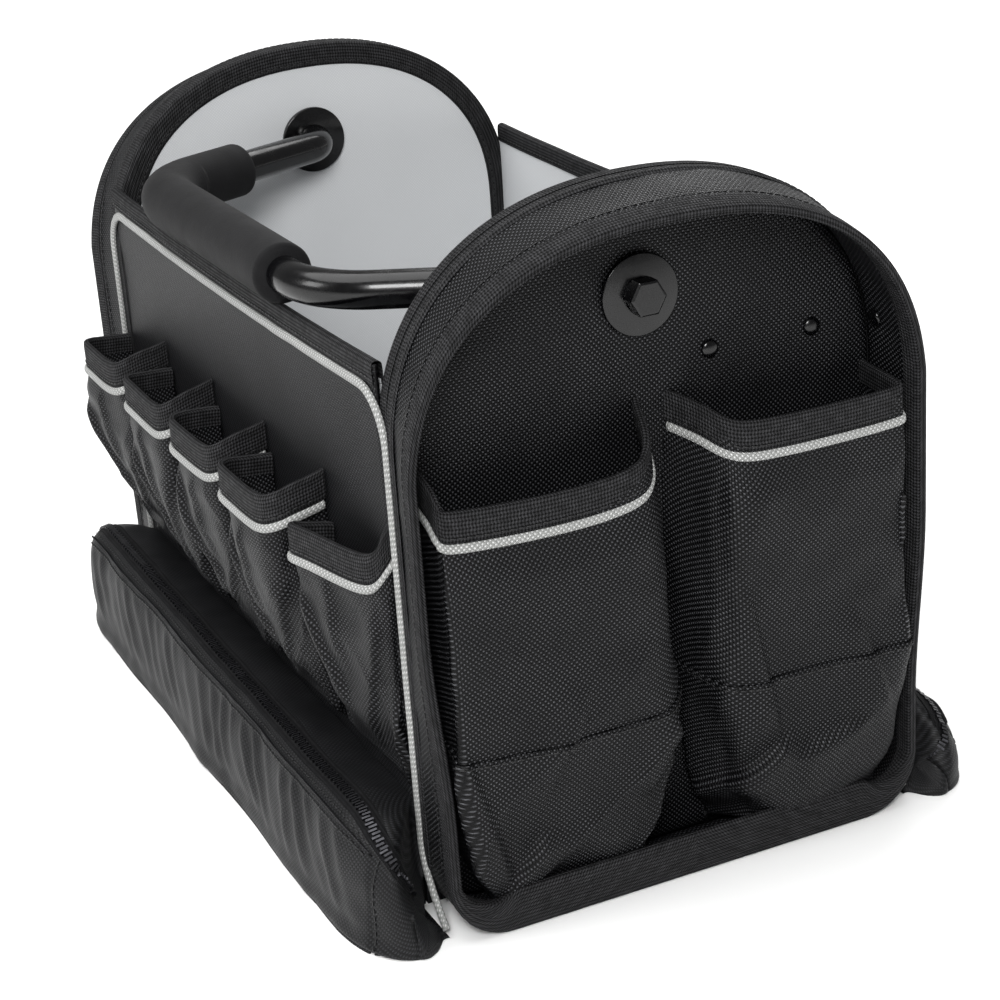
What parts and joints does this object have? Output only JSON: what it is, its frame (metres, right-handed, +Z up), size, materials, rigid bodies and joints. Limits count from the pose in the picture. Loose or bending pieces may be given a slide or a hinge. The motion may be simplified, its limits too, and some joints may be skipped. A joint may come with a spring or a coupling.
{
  "type": "tool tote bag",
  "caption": "Open top tool tote with a swinging padded carry handle, arched hooded ends, rows of outer tool pockets and zipped compartments along the base.",
  "frame": {"origin": "middle of the bag's underside, on the ground between the two side walls and the two ends", "axes": "+X along the bag towards the end whose pockets face the viewer, +Y across it, -Y the side that the handle rests on, +Z up"},
  "size_m": [0.51, 0.35, 0.348],
  "materials": {
    "cloth": "coated woven polyester, matt",
    "binding": "ribbed webbing, matt",
    "piping": "reflective woven piping, satin",
    "lining": "smooth coated cloth, satin",
    "steel": "gloss black lacquer",
    "foam": "closed cell foam, matt",
    "zip": "dark metal teeth, satin"
  },
  "bodies": {
    "bag": {"floor_board": "cloth", "side_wall_left": "cloth", "side_piping_left": "piping", "base_compartment_left": "cloth", "base_zip_left": "zip", "base_piping_left": "binding", "side_pocket_left_1": "cloth", "side_pocket_piping_left_1": "piping", "side_pocket_left_2": "cloth", "side_pocket_piping_left_2": "piping", "side_pocket_left_3": "cloth", "side_pocket_piping_left_3": "piping", "side_pocket_left_4": "cloth", "side_pocket_piping_left_4": "piping", "side_pocket_left_5": "cloth", "side_pocket_piping_left_5": "piping", "side_wall_right": "cloth", "side_piping_right": "piping", "base_compartment_right": "cloth", "base_zip_right": "zip", "base_piping_right": "binding", "side_pocket_right_1": "cloth", "side_pocket_piping_right_1": "piping", "side_pocket_right_2": "cloth", "side_pocket_piping_right_2": "piping", "side_pocket_right_3": "cloth", "side_pocket_piping_right_3": "piping", "side_pocket_right_4": "cloth", "side_pocket_piping_right_4": "piping", "side_pocket_right_5": "cloth", "side_pocket_piping_right_5": "piping", "end_panel_near": "cloth", "end_lining_near": "lining", "hood_near": "cloth", "hood_binding_near": "binding", "washer_outer_near": "steel", "washer_inner_near": "steel", "bolt_near": "steel", "end_pocket_near_a": "cloth", "end_pocket_piping_near_a": "piping", "end_pocket_near_b": "cloth", "end_pocket_piping_near_b": "piping", "end_panel_far": "cloth", "end_lining_far": "lining", "hood_far": "cloth", "hood_binding_far": "binding", "washer_outer_far": "steel", "washer_inner_far": "steel", "bolt_far": "steel", "end_pocket_far_a": "cloth", "end_pocket_piping_far_a": "piping", "end_pocket_far_b": "cloth", "end_pocket_piping_far_b": "piping", "rivet_1": "steel", "rivet_2": "steel", "rivet_3": "steel"},
    "handle": {"handle_tube": "steel", "handle_grip": "foam"}
  },
  "joints": [
    {"name": "handle_swing", "type": "hinge", "parent": "bag", "child": "handle", "pos_m": [0, 0, 0.291], "axis": [-1, 0, 0], "range_deg": [0, 177]}
  ]
}
